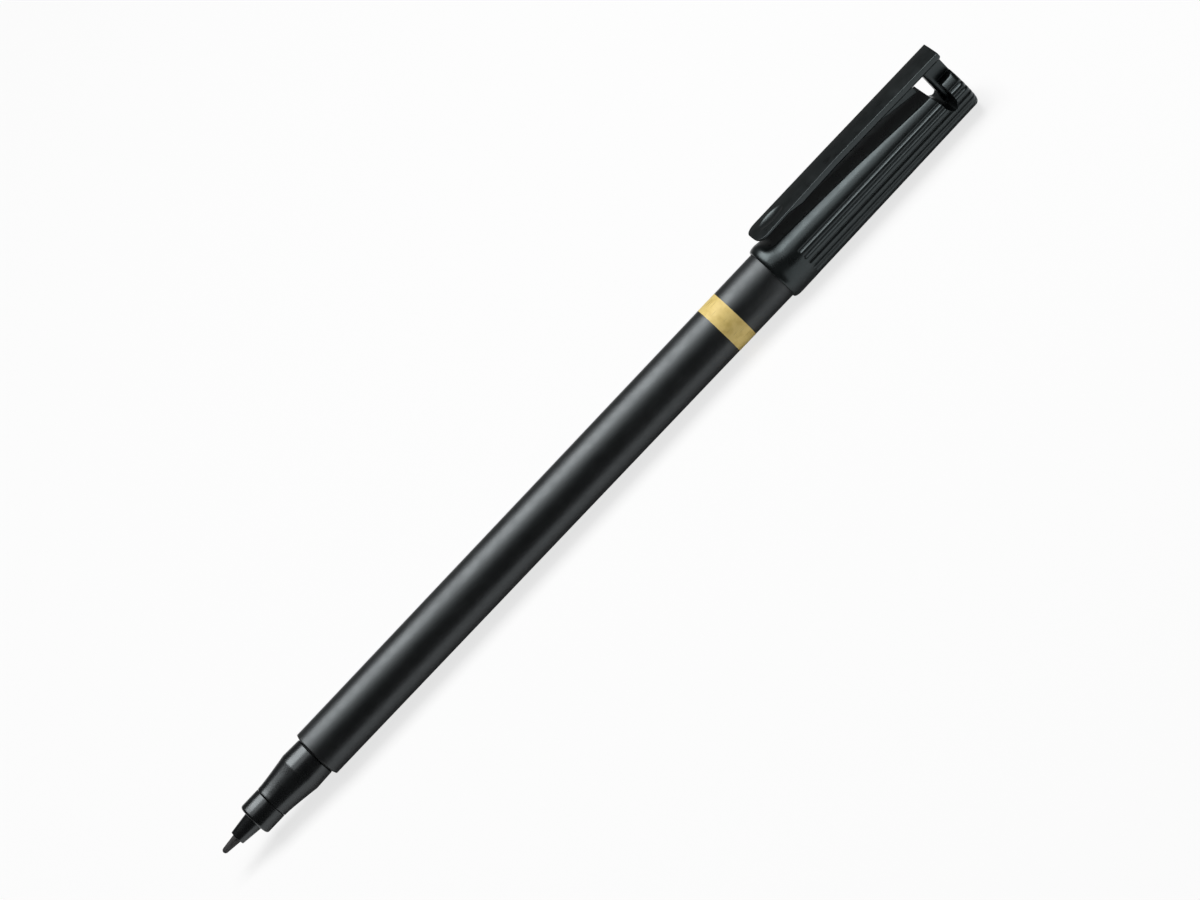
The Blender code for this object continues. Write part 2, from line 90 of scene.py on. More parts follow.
# Nib and the holder round it
NIB_RADIUS = 0.73 * MM
NIB_TIP_RADIUS = 0.46 * MM
NIB_POLE_RADIUS = 0.04 * MM
NIB_EXPOSED = 2.9 * MM
NIB_HEEL = 0.6 * MM
NIB_BORE = 0.78 * MM
HOLDER_MOUTH_RADIUS = 1.17 * MM
HOLDER_CONE_RADIUS = 1.58 * MM
HOLDER_CONE_LENGTH = 3.5 * MM
COLLAR_RADIUS = 2.72 * MM
COLLAR_LENGTH = 3.6 * MM
COLLAR_ROUND = 0.45 * MM
STEM_RADIUS = 1.9 * MM
HOLDER_SOFTNESS = 0.07 * MM

# Grip section
SECTION_BORE = 1.95 * MM
NOSE_RADIUS = 2.75 * MM
NOSE_LENGTH = 0.4 * MM
FLARE_LENGTH = 5.6 * MM
FLARE_POWER = 1.25
SWELL_RADIUS = 3.43 * MM
NECK_RADIUS = 3.33 * MM
NECK_LENGTH = 3.23 * MM
SPIGOT_RADIUS = 3.15 * MM
SECTION_SOFTNESS = 0.12 * MM

# Barrel, foil band and rear plug
BARREL_FRONT_RADIUS = 4.0 * MM
BARREL_FRONT_SLOPE = 0.25 * MM
BARREL_REAR_RADIUS = 4.22 * MM
BARREL_BORE = 3.2 * MM
TAIL_LENGTH = 10.0 * MM
TAIL_STEP = 0.6 * MM
TAIL_FRONT_RADIUS = 3.55 * MM
TAIL_RADIUS = 3.4 * MM
BARREL_SOFTNESS = 0.14 * MM
FOIL_RISE = 0.012 * MM
FOIL_SINK = 0.05 * MM
FOIL_RAGGEDNESS = 0.12 * MM
PLUG_RADIUS = 3.35 * MM
PLUG_HEAD = 1.0 * MM
PLUG_DIMPLE_RADIUS = 1.2 * MM
PLUG_DIMPLE_DEPTH = 0.3 * MM
PLUG_SOFTNESS = 0.2 * MM

# Cap: its outside from the mouth's lip to the rounded end, and its bore
CAP_MOUTH_RADIUS = 4.802 * MM
CAP_END_RADIUS = 4.45 * MM
CAP_END_ROUND = 0.8 * MM
LIP_LENGTH = 1.2 * MM
LIP_WALL = 0.12 * MM
CAP_BORE_GAP = 0.08 * MM
MOUTH_DEPTH = 1.3 * MM
CHAMBER_RADIUS = 2.0 * MM
CHAMBER_LENGTH = 3.1 * MM
LINER_BORE = 2.79 * MM
LINER_RADIUS = 3.15 * MM
LINER_END_RADIUS = 2.6 * MM
LINER_WALL = 0.6 * MM
LINER_FLOOR = 0.8 * MM
LINER_SEAL_LENGTH = 4.0 * MM
LINER_SOFTNESS = 0.08 * MM

# Flutes: so many would go all the way round, and those on the clip's side are left out
FLUTES_PER_TURN = 26
FLUTE_COUNT = 17
FLUTE_COLUMNS = 14
FLUTE_DEPTH = 0.27 * MM
FLUTE_START = 5.0 * MM
FLUTE_HALF_WIDTH = 0.36 * MM

# Saddle under the clip: round shoulders that leave the round body at its sides and end in a straight
# slope, and a flat between them that sinks towards the notch; the flat's heights are above the axis, at
# depths from the mouth
SADDLE_START = 1.0 * MM
SADDLE_RUN_IN = 2.6 * MM
SHOULDER_FRONT_RADIUS = 4.12 * MM
SHOULDER_END_RADIUS = 3.38 * MM
SHOULDER_SLOPE = math.radians(34)
FLAT_DEPTHS = (0.0, 16.1 * MM, 20.0 * MM, 26.5 * MM, 34.4 * MM, 39.3 * MM)
FLAT_HEIGHTS = (4.16 * MM, 3.61 * MM, 3.48 * MM, 3.15 * MM, 2.78 * MM, 2.95 * MM)
SADDLE_STEP = 1.5 * MM
PRESS_DIGITS = 4

# Head of the cap and the notch in front of it
HEAD_LENGTH = 2.8 * MM
WEB_WIDTH = 2.3 * MM
WEB_BULGE = 0.85 * MM
WEB_CORNER = 0.9 * MM
NOTCH_WIDTH = 2.1 * MM
NOTCH_FLARE = 1.0 * MM
NOTCH_FLOOR = 1.0 * MM
NOTCH_ROUND = 2.1 * MM
END_SETBACK = 0.25 * MM

# Clip: heights are of its outer face above the pen's axis
CLIP_TIP_HEIGHT = 6.66 * MM
CLIP_WAIST_HEIGHT = 6.88 * MM
CLIP_ROOT_HEIGHT = 6.8 * MM
CLIP_TIP_WIDTH = 5.4 * MM
CLIP_WAIST_WIDTH = 4.6 * MM
CLIP_ROOT_WIDTH = 4.85 * MM
CLIP_CORNER = 1.8 * MM
CLIP_WAIST_PLACE = 16.3 * MM
CLIP_THICKNESS = 1.3 * MM
CLIP_LIP_THICKNESS = 0.65 * MM
CLIP_LIP_LENGTH = 6.25 * MM
CLIP_STEP_LENGTH = 2.4 * MM
CLIP_SOFTNESS = 0.13 * MM
CLIP_EDGE_ROUND = 0.58 * MM
CLIP_CROWN = 0.16 * MM
CLIP_CROWN_STEPS = 12
OUTER_FACE_RISE = 0.9
SIDE_FACE_RISE = 0.5
HOLLOW_PLACE = 4.0 * MM
HOLLOW_LENGTH = 8.2 * MM
HOLLOW_WIDTH = 4.6 * MM
HOLLOW_HEIGHT = 3.0 * MM
HOLLOW_DEPTH = 0.3 * MM
CLIP_BEND_STEPS = 6
CLIP_BEND_REACH = 1.5 * MM
RIB_WIDTH = 2.3 * MM
RIB_LENGTH = 9.5 * MM
RIB_CLEARANCE = 1.15 * MM

# Stations that follow from these
HEAD_FRONT = CAP_REAR - HEAD_LENGTH
NOTCH_FRONT = HEAD_FRONT - NOTCH_WIDTH
CHAMBER_END = LINER_REAR + CHAMBER_LENGTH
PAD_UNDER = AXIS + CLIP_ROOT_HEIGHT - CLIP_THICKNESS

# The photograph's camera, as if its frame were 1200 by 900 pixels
CAMERA_ELEVATION = math.radians(28.0)
PEN_ANGLE = math.radians(46.48)
CAMERA_DISTANCE = 0.8
VIEW_WIDTH = 174 * MM
SENSOR_WIDTH = 36 * MM
AIM_STATION = 2.5 * MM
AIM_RISE = 0.6 * MM

# The floor, and how much of it is plain white to the camera and in reflections; the rest keeps
# the shadow
FLOOR_SIZE = 6.0
FLOOR_LEVEL = 0.86
FLOOR_SHOWN_WHITE = 0.75
FLOOR_MIRRORED_WHITE = 0.04

# Cards that only reflections see, both painted reflections: a black one that lies beside the pen on the
# camera's side, from this far off the pen's axis, paints dark into the floor's reflection there, and a
# pale one that stands on the far side glows faintly as a painted bright reflection
CARD_LENGTH = 1.6
CARD_THICKNESS = 0.1 * MM
BLACK_CARD_GAP = 11.5 * MM
BLACK_CARD_DEPTH = 0.8
PAINTED_DARK_REFLECTION_LEVEL = 0.04
PALE_CARD_DISTANCE = 0.8
PALE_CARD_HEIGHT = 0.34
PAINTED_BRIGHT_REFLECTION_LEVEL = 0.15

# Soft lamps over the pen, leaning from straight overhead, and the faint light of the room
SOFTBOX_DISTANCE = 1.0
SOFTBOX_LENGTH = 0.8
SOFTBOX_PLACE = 0.1
MAIN_LEAN = math.radians(-9)
MAIN_WIDTH = 0.72
MAIN_WATTS = 11.0
FILL_LEAN = math.radians(23)
FILL_WIDTH = 0.44
FILL_WATTS = 1.5
ROOM_LEVEL = 0.03

# Inputs and output of a Mix node that hold colours; its others hold numbers and vectors
MIX_COLOURS = (6, 7)
MIXED_COLOUR = 2

# How fine noises are, and the limits that most of their values lie between
PLAIN_DETAIL = 2.0
FINE_DETAIL = 3.0
NOISE_RANGE = (0.3, 0.7)

# Black plastics: their colour with shares of it, tints of the shine, and noise scales per metre
BLACK_LEVEL = 0.004
PLASTIC_TINT = (0.92, 1, 1.06)
PLASTIC_SHINE = (0.9, 0.97, 1)
CAP_TINT = (0.85, 1.05, 1.05)
CAP_SHINE = (0.83, 0.97, 1)
GLOSS_ROUGHNESS = 0.26
GLOSS_SPECULAR = 0.8
GLOSS_GRAIN = 0.003 * MM
CAP_ROUGHNESS = 0.29
CAP_SPECULAR = 0.66
CAP_GRAIN = 0.007 * MM
CAP_EDGE_ROUND = 0.2 * MM
BARREL_ROUGHNESS = 0.4
BARREL_SPECULAR = 0.84
BARREL_GRAIN = 0.005 * MM
DARK_SHARE = 0.75
LIGHT_SHARE = 1.3
WORN_SHARE = 2.6
GLOSS_UNEVENNESS = 0.035
SMUDGE_DULLNESS = 0.05
GRAIN_SCALE = 4200.0
CLOUD_SCALE = 260.0
CLOUD_DETAIL = 4.0
CLOUD_RANGE = (0.35, 0.65)
GLOSS_SCALE = 700.0
SMUDGE_SCALE = 90.0
SMUDGE_RANGE = (0.45, 0.72)
MARK_SCALE = 5200.0
MARK_STRETCH = 0.06
MARK_DETAIL = 1.0
MARK_RANGE = (0.68, 0.78)
EDGE_SAMPLES = 8

# Felt of the nib and of the ink reservoir
FELT_SPECULAR = 0.3
FELT_DEPTH = 0.02 * MM
FIBRE_SCALE = 6500.0
FIBRE_STRETCH = 0.12
FIBRE_RANGE = (0.35, 0.7)
SOAK_SCALE = 900.0
SOAK_SHARE = 0.6
SOAK_RANGE = (0.45, 0.65)
DRYING_RANGE = (0.4, 0.65)
WET_ROUGHNESS = 0.62
DRY_ROUGHNESS = 0.9
NIB_DARK = 0.02
NIB_LIGHT = 0.085
CORE_DARK = 0.01
CORE_LIGHT = 0.035

# Gold foil
GOLD = (0.8, 0.63, 0.23, 1)
DULL_GOLD = (0.68, 0.51, 0.15, 1)
RUBBED_GOLD = (0.4, 0.29, 0.09, 1)
UNDER_GOLD = 0.01
FOIL_METAL = 0.35
FOIL_COAT = 0.3
FOIL_COAT_ROUGHNESS = 0.35
FOIL_ROUGHNESS_LOW = 0.7
FOIL_ROUGHNESS_HIGH = 0.84
FOIL_SMUDGE_SCALE = 700.0
FOIL_MARK_SCALE = 6000.0
FOIL_RAGGED_SCALE = 3200.0
FOIL_BRUSH_SCALE = 5000.0
FOIL_BRUSH_STRETCH = 0.2
FOIL_FADE = 0.3

# The inner cap's milky plastic and the wrap of the reservoir
MILKY_DARK = (0.62, 0.62, 0.59, 1)
MILKY_LIGHT = (0.8, 0.8, 0.78, 1)
MILKY_CLOUD_SCALE = 400.0
MILKY_GRAIN_SCALE = 2500.0
MILKY_GRAIN = 0.006 * MM
MILKY_ROUGHNESS_LOW = 0.42
MILKY_ROUGHNESS_HIGH = 0.56
WRAP_DARK = (0.48, 0.49, 0.52, 1)
WRAP_LIGHT = (0.62, 0.63, 0.65, 1)
WRAP_CREASE_SCALE = 1400.0
WRAP_CREASE_STRETCH = 0.1
WRAP_CREASE = 0.02 * MM
WRAP_ROUGHNESS_LOW = 0.28
WRAP_ROUGHNESS_HIGH = 0.42


def deselect():
    if bpy.context.mode != "OBJECT":
        bpy.ops.object.mode_set(mode="OBJECT")
    bpy.ops.object.select_all(action="DESELECT")


def select_only(piece):
    deselect()
    piece.select_set(True)
    bpy.context.view_layer.objects.active = piece


def edit(piece):
    """Opens one piece for editing, with all of it selected."""
    select_only(piece)
    bpy.ops.object.mode_set(mode="EDIT")
    bpy.ops.mesh.select_all(action="SELECT")


def choose(piece, points):
    """Selects the points with these numbers in the piece that is open for editing."""
    bpy.ops.mesh.select_all(action="DESELECT")
    mesh = bmesh.from_edit_mesh(piece.data)
    mesh.verts.ensure_lookup_table()
    for point in points:
        mesh.verts[point].select = True
    mesh.select_flush_mode()


def choose_where(piece, wanted):
    """Selects the points whose places are wanted in the piece that is open for editing."""
    bpy.ops.mesh.select_all(action="DESELECT")
    mesh = bmesh.from_edit_mesh(piece.data)
    for point in mesh.verts:
        point.select = wanted(point.co)
    mesh.select_flush_mode()


def choose_edges(piece, wanted):
    """Selects the edges between wanted pairs of places in the piece that is open for editing."""
    bpy.ops.mesh.select_all(action="DESELECT")
    mesh = bmesh.from_edit_mesh(piece.data)
    for edge in mesh.edges:
        if wanted(edge.verts[0].co, edge.verts[1].co):
            edge.select_set(True)


def settle(name):
    """Names the primitive that was just added and moves its place into its mesh."""
    bpy.ops.object.transform_apply(location=True, rotation=True, scale=True)
    piece = bpy.context.active_object
    piece.name = name
    piece.data.name = name
    return piece


def ring(name, place, sides, fill):
    """A circle of points about the pen's axis at a (station, radius) place, open for editing."""
    station, radius = place
    deselect()
    bpy.ops.mesh.primitive_circle_add(vertices=sides, radius=radius, fill_type=fill,
                                      location=(station, 0, AXIS), rotation=(0, math.pi / 2, 0))
    piece = settle(name)
    edit(piece)
    return piece


def block(name, low, high):
    """A block between two corners."""
    deselect()
    size = Vector(high) - Vector(low)
    bpy.ops.mesh.primitive_cube_add(size=1, location=Vector(low) + size / 2, scale=size)
    return settle(name)


def draw(outline):
    """Extrudes the selected ring along an outline of (station, radius) places."""
    for (station, radius), (next_station, next_radius) in zip(outline, outline[1:]):
        bpy.ops.mesh.extrude_region_move(
            TRANSFORM_OT_translate={"value": (next_station - station, 0, 0)})
        ratio = next_radius / radius
        bpy.ops.transform.resize(value=(1, ratio, ratio), center_override=(next_station, 0, AXIS))


def close_up():
    """Merges the points that meet, and turns all faces outwards."""
    bpy.ops.mesh.select_all(action="SELECT")
    bpy.ops.mesh.remove_doubles(threshold=WELD)
    bpy.ops.mesh.normals_make_consistent(inside=False)
    bpy.ops.object.mode_set(mode="OBJECT")


def turn(name, outline, hollow=True):
    """Turns an outline about the pen's axis; a hollow piece's outline comes back to its start."""
    piece = ring(name, outline[0], SIDES, "NOTHING" if hollow else "NGON")
    draw(outline + outline[:1] if hollow else outline)
    close_up()
    return piece


def arc(station, radius, width, reach, start):
    """A quarter of an ellipse of places about (station, radius), clockwise from the angle start."""
    angles = [start - math.pi / 2 * step / ARC_STEPS for step in range(ARC_STEPS + 1)]
    return [(station + width * math.cos(angle), radius + reach * math.sin(angle)) for angle in angles]


def apply_modifiers(piece):
    select_only(piece)
    for modifier in list(piece.modifiers):
        bpy.ops.object.modifier_apply(modifier=modifier.name)


def combine(piece, tool, operation):
    """Cuts a piece with a tool or joins them, and puts the tool away."""
    modifier = piece.modifiers.new(tool.name, "BOOLEAN")
    modifier.operation = operation
    modifier.object = tool
    modifier.solver = "EXACT"
    apply_modifiers(piece)
    bpy.data.objects.remove(tool)


def soften(piece, width, steps=3):
    """Rounds the hard edges."""
    modifier = piece.modifiers.new("soft_edges", "BEVEL")
    modifier.width = width
    modifier.segments = steps
    modifier.limit_method = "ANGLE"
    modifier.angle_limit = ROUNDED_ANGLE
    apply_modifiers(piece)


def smooth(piece, angle=SHADED_ANGLE):
    """Shades a piece smoothly, apart from its sharp edges."""
    select_only(piece)
    bpy.ops.object.shade_smooth_by_angle(angle=angle)
    weights = piece.modifiers.new("face_weights", "WEIGHTED_NORMAL")
    weights.keep_sharp = True
    apply_modifiers(piece)


def fit(piece, node, body, material):
    """Puts a finished piece in a node's place, on the node's body."""
    piece.data.materials.clear()
    piece.data.materials.append(material)
    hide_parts(node)
    if body:
        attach(piece, body)


def finish_node(node, material):
    """Gives a finish to a node of the frame whose shape stays as it is."""
    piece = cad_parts[node]
    piece.data.materials.clear()
    piece.data.materials.append(material)


def make_nib(material):
    tip = arc(NIB_FRONT + NIB_TIP_RADIUS, 0, NIB_TIP_RADIUS, NIB_TIP_RADIUS, math.pi)
    outline = [
        (NIB_FRONT, NIB_POLE_RADIUS),
        *tip[1:],
        (NIB_FRONT + NIB_EXPOSED, NIB_RADIUS),
        (NIB_REAR - NIB_HEEL, NIB_RADIUS),
        (NIB_REAR, NIB_TIP_RADIUS),
    ]
    nib = turn("felt_nib", outline, hollow=False)
    smooth(nib)
    fit(nib, "nib", "pen", material)


def make_holder(material):
    collar_front = HOLDER_FRONT + HOLDER_CONE_LENGTH
    collar_rear = collar_front + COLLAR_LENGTH
    outline = [
        (HOLDER_FRONT, NIB_BORE),
        (HOLDER_FRONT, HOLDER_MOUTH_RADIUS),
        (collar_front, HOLDER_CONE_RADIUS),
        *arc(collar_front + COLLAR_ROUND, COLLAR_RADIUS - COLLAR_ROUND,
             COLLAR_ROUND, COLLAR_ROUND, math.pi),
        (collar_rear, COLLAR_RADIUS),
        (collar_rear, STEM_RADIUS),
        (HOLDER_REAR, STEM_RADIUS),
        (HOLDER_REAR, NIB_BORE),
    ]
    holder = turn("nib_carrier", outline)
    soften(holder, HOLDER_SOFTNESS)
    smooth(holder)
    fit(holder, "nib_holder", "pen", material)


def make_section(material):
    flare_start = SECTION_FRONT + NOSE_LENGTH
    neck_end = flare_start + FLARE_LENGTH + NECK_LENGTH
    rise = SWELL_RADIUS - NOSE_RADIUS
    shares = [step / FLARE_STEPS for step in range(FLARE_STEPS + 1)]
    outline = [
        (SECTION_FRONT, SECTION_BORE),
        (SECTION_FRONT, NOSE_RADIUS),
        *[(flare_start + share * FLARE_LENGTH,
           NOSE_RADIUS + rise * share ** FLARE_POWER) for share in shares],
        (neck_end, NECK_RADIUS),
        (neck_end, SPIGOT_RADIUS),
        (SECTION_REAR, SPIGOT_RADIUS),
        (SECTION_REAR, SECTION_BORE),
    ]
    section = turn("grip", outline)
    soften(section, SECTION_SOFTNESS)
    smooth(section)
    fit(section, "grip_section", "pen", material)


def barrel_radius(station):
    """Radius of the barrel's long taper and of the tail that the cap is pushed onto."""
    tail_start = BARREL_REAR - TAIL_LENGTH
    if station <= tail_start:
        share = (station - BARREL_FRONT) / (tail_start - BARREL_FRONT)
        return BARREL_FRONT_RADIUS + share * (BARREL_REAR_RADIUS - BARREL_FRONT_RADIUS)
    share = (station - tail_start) / TAIL_LENGTH
    return TAIL_FRONT_RADIUS + share * (TAIL_RADIUS - TAIL_FRONT_RADIUS)


def make_barrel(material):
    slope_end = BARREL_FRONT + BARREL_FRONT_SLOPE
    tail_start = BARREL_REAR - TAIL_LENGTH
    outline = [
        (BARREL_FRONT, BARREL_BORE),
        (BARREL_FRONT, NECK_RADIUS),
        (slope_end, barrel_radius(slope_end)),
        (tail_start, BARREL_REAR_RADIUS),
        (tail_start + TAIL_STEP, barrel_radius(tail_start + TAIL_STEP)),
        (BARREL_REAR, TAIL_RADIUS),
        (BARREL_REAR, BARREL_BORE),
    ]
    barrel = turn("barrel_tube", outline)
    soften(barrel, BARREL_SOFTNESS)
    smooth(barrel)
    fit(barrel, "barrel", "pen", material)


def make_band(material):
    outline = [
        (BAND_FRONT, barrel_radius(BAND_FRONT) - FOIL_SINK),
        (BAND_FRONT, barrel_radius(BAND_FRONT) + FOIL_RISE),
        (BAND_REAR, barrel_radius(BAND_REAR) + FOIL_RISE),
        (BAND_REAR, barrel_radius(BAND_REAR) - FOIL_SINK),
    ]
    band = turn("gold_band", outline)
    smooth(band)
    fit(band, "foil_band", "pen", material)


def make_plug(material):
    head_front = PLUG_REAR - PLUG_HEAD
    outline = [
        (PLUG_FRONT, SPIGOT_RADIUS),
        (head_front, SPIGOT_RADIUS),
        (head_front, PLUG_RADIUS),
        (PLUG_REAR, PLUG_RADIUS),
        (PLUG_REAR, PLUG_DIMPLE_RADIUS),
        (PLUG_REAR - PLUG_DIMPLE_DEPTH, PLUG_DIMPLE_RADIUS),
    ]
    plug = turn("rear_plug", outline, hollow=False)
    soften(plug, PLUG_SOFTNESS)
    smooth(plug)
    fit(plug, "end_plug", "pen", material)


def make_liner(material):
    seal_end = LINER_FRONT + LINER_SEAL_LENGTH
    outline = [
        (LINER_REAR - LINER_FLOOR, LINER_END_RADIUS - LINER_WALL),
        (seal_end, LINER_BORE),
        (LINER_FRONT, LINER_BORE),
        (LINER_FRONT, LINER_RADIUS),
        (seal_end, LINER_RADIUS),
        (LINER_REAR, LINER_END_RADIUS),
    ]
    liner = turn("inner_cap_cup", outline, hollow=False)
    soften(liner, LINER_SOFTNESS)
    smooth(liner)
    fit(liner, "cap_liner", "inner_cap", material)


def cap_radius(station):
    """Radius of the cap's long taper behind its lip."""
    share = (station - CAP_FRONT - LIP_LENGTH) / (CAP_REAR - CAP_FRONT - LIP_LENGTH)
    return CAP_MOUTH_RADIUS + share * (CAP_END_RADIUS - CAP_MOUTH_RADIUS)


def flute_share(place):
    """How deep a point of the cap's outside lies in a flute, from 0 on the land to 1 on its floor."""
    height = AXIS - place.z
    angle = math.atan2(place.y, height)
    pitch = math.tau / FLUTES_PER_TURN
    number = round(angle / pitch)
    if abs(number) > FLUTE_COUNT // 2:
        return 0.0
    across = (angle - number * pitch) * math.hypot(place.y, height)
    ahead = max(CAP_FRONT + FLUTE_START - place.x, 0.0)
    off = math.hypot(across, ahead) / FLUTE_HALF_WIDTH
    return (1 + math.cos(math.pi * off)) / 2 if off < 1 else 0.0


def flat_height(station):
    """Height above the axis of the flat under the clip."""
    depth = station - CAP_FRONT
    legs = zip(FLAT_DEPTHS, FLAT_DEPTHS[1:], FLAT_HEIGHTS, FLAT_HEIGHTS[1:])
    for start, end, first, last in legs:
        if depth <= end:
            return first + (last - first) * (depth - start) / (end - start)
    return FLAT_HEIGHTS[-1]


def saddle_reach(angle, station, radius):
    """Distance from the axis to the shoulder or the flat, at an angle from the clip's side."""
    share = (station - CAP_FRONT) / (CAP_REAR - CAP_FRONT)
    bend = SHOULDER_FRONT_RADIUS + share * (SHOULDER_END_RADIUS - SHOULDER_FRONT_RADIUS)
    off = radius - bend
    along = off * math.sin(angle)
    shoulder = along + math.sqrt(along ** 2 - off ** 2 + bend ** 2)
    if angle < math.atan2(off + bend * math.sin(SHOULDER_SLOPE), bend * math.cos(SHOULDER_SLOPE)):
        shoulder = (off * math.sin(SHOULDER_SLOPE) + bend) / math.cos(angle - SHOULDER_SLOPE)
    return min(shoulder, flat_height(station) / math.cos(angle))


def press_ratio(place):
    """How far a point of the cap's round outside is pressed in, as a share of its radius."""
    radius = math.hypot(place.y, place.z - AXIS)
    ratio = 1 - flute_share(place) * FLUTE_DEPTH / radius
    if place.z > AXIS + WELD:
        angle = math.atan2(abs(place.y), place.z - AXIS)
        sunk = min(max((place.x - CAP_FRONT - SADDLE_START) / SADDLE_RUN_IN, 0.0), 1.0)
        eased = sunk * sunk * (3 - 2 * sunk)
        ratio -= eased * max(1 - saddle_reach(angle, place.x, radius) / radius, 0.0)
    return ratio


def press_outside(cap, outside):
    """Scales the outside's points towards the axis, those of one ratio at a time."""
    ratios = {}
    for point in cap.data.vertices[outside:]:
        ratios.setdefault(round(press_ratio(point.co), PRESS_DIGITS), []).append(point.index)
    edit(cap)
    for ratio, points in ratios.items():
        choose(cap, points)
        bpy.ops.transform.resize(value=(1, ratio, ratio), center_override=(0, 0, AXIS))
    bpy.ops.object.mode_set(mode="OBJECT")


def press_rest_flat(cap):
    """Flattens the slight facet under the mouth that the pen lies on."""
    edit(cap)
    choose_where(cap, lambda place: place.z < 0)
    bpy.ops.transform.resize(value=(1, 1, 0), center_override=(0, 0, 0))
    bpy.ops.object.mode_set(mode="OBJECT")


def cap_bore():
    """The cap's inside, from the chamber behind the inner cap to the mouth."""
    seal_end = LINER_FRONT + LINER_SEAL_LENGTH
    return [
        (CHAMBER_END, CHAMBER_RADIUS),
        (LINER_REAR, CHAMBER_RADIUS),
        (LINER_REAR, LINER_END_RADIUS + CAP_BORE_GAP),
        (seal_end, LINER_RADIUS + CAP_BORE_GAP),
        (LINER_FRONT, LINER_RADIUS + CAP_BORE_GAP),
        (BARREL_REAR, TAIL_RADIUS + CAP_BORE_GAP),
        (CAP_FRONT + MOUTH_DEPTH, TAIL_FRONT_RADIUS + CAP_BORE_GAP),
        (CAP_FRONT + MOUTH_DEPTH, BARREL_REAR_RADIUS + CAP_BORE_GAP),
        (CAP_FRONT, BARREL_REAR_RADIUS + CAP_BORE_GAP),
    ]


def cap_outside(mouth_radius):
    """The cap's outside, from the lip to the rounded end; steps are close where the saddle and the
    flutes begin."""
    lip = arc(CAP_FRONT + LIP_LENGTH, mouth_radius, LIP_LENGTH,
              CAP_MOUTH_RADIUS - mouth_radius, math.pi)
    start = CAP_FRONT + FLUTE_START
    saddle = [CAP_FRONT + SADDLE_START + SADDLE_RUN_IN * step / FLARE_STEPS
              for step in range(FLARE_STEPS + 1)]
    flutes = [start - FLUTE_HALF_WIDTH * step / ARC_STEPS for step in range(ARC_STEPS, -1, -1)]
    legs = int((CAP_REAR - CAP_END_ROUND - start) / SADDLE_STEP)
    stations = [station for station in saddle if station > CAP_FRONT + LIP_LENGTH] + flutes
    stations += [start + SADDLE_STEP * step for step in range(1, legs)]
    round_start = CAP_REAR - END_SETBACK - CAP_END_ROUND
    end = arc(round_start, cap_radius(round_start) - CAP_END_ROUND,
              CAP_END_ROUND, CAP_END_ROUND, math.pi / 2)
    return lip + [(station, cap_radius(station)) for station in stations] + end


def make_cap(material):
    bore = cap_bore()
    outside = cap_outside(bore[-1][1] + LIP_WALL)
    cap = ring("cap_body", bore[0], FLUTES_PER_TURN * FLUTE_COLUMNS, "NGON")
    draw(bore)
    bpy.ops.object.mode_set(mode="OBJECT")
    bore_points = len(cap.data.vertices)
    bpy.ops.object.mode_set(mode="EDIT")
    draw(bore[-1:] + outside)
    close_up()
    press_outside(cap, bore_points)
    press_rest_flat(cap)
    shape_head(cap)
    smooth(cap, CAP_SHADED_ANGLE)
    fit(cap, "cap_shell", "cap", material)


def slope_off(piece, place, normal):
    """Takes away all of a block that lies under a sloping plane."""
    edit(piece)
    bpy.ops.mesh.bisect(plane_co=place, plane_no=Vector(normal).normalized(), use_fill=True,
                        clear_inner=True, threshold=WELD)
    bpy.ops.object.mode_set(mode="OBJECT")


def shape_head(cap):
    """Cuts the notch and raises the web that the clip grows from."""
    wide = 3 * CAP_MOUTH_RADIUS
    web = block("clip_web", (HEAD_FRONT - NOTCH_WIDTH / 2, -WEB_WIDTH / 2, AXIS),
                (CAP_REAR - END_SETBACK, WEB_WIDTH / 2, PAD_UNDER + CLIP_THICKNESS / 2))
    combine(cap, web, "UNION")
    combine(cap, notch_cutter(wide, HEAD_FRONT), "DIFFERENCE")
    combine(cap, web_front(), "UNION")


def web_front():
    """The web's front stands out into the notch as a round column, with a hollowed foot."""
    foot = AXIS - NOTCH_FLOOR - WEB_BULGE
    column = block("web_front", (HEAD_FRONT - NOTCH_WIDTH / 2, -WEB_WIDTH / 2, foot),
                   (HEAD_FRONT + WEB_BULGE, WEB_WIDTH / 2, PAD_UNDER + CLIP_THICKNESS / 2))
    edit(column)
    choose_edges(column, lambda first, last: max(first.x, last.x) < HEAD_FRONT and first.y * last.y > 0)
    bpy.ops.mesh.bevel(offset=WEB_CORNER, segments=2 * ARC_STEPS)
    bpy.ops.object.mode_set(mode="OBJECT")
    combine(column, notch_cutter(WEB_WIDTH, HEAD_FRONT - WEB_BULGE), "DIFFERENCE")
    return column


def notch_cutter(wide, rear):
    """A deep slot with a round floor, up to a rear station, opening out towards the clip's free end."""
    top = PAD_UNDER + CLIP_THICKNESS
    half = (rear - NOTCH_FRONT) / 2
    cutter = block("notch_cutter", (NOTCH_FRONT, -wide, AXIS - NOTCH_FLOOR), (rear, wide, top))
    edit(cutter)
    choose_edges(cutter, lambda first, last: max(first.z, last.z) < AXIS and first.y * last.y < 0)
    bpy.ops.mesh.bevel(offset=half - WELD, segments=2 * ARC_STEPS, profile=0.5)
    choose_where(cutter, lambda place: place.z < PAD_UNDER)
    bpy.ops.transform.resize(value=(1, 1, NOTCH_ROUND / half),
                             center_override=(0, 0, AXIS - NOTCH_FLOOR))
    choose_where(cutter, lambda place: place.z > PAD_UNDER and place.x < NOTCH_FRONT + WELD)
    bpy.ops.transform.translate(value=(-NOTCH_FLARE, 0, 0))
    bpy.ops.object.mode_set(mode="OBJECT")
    return cutter


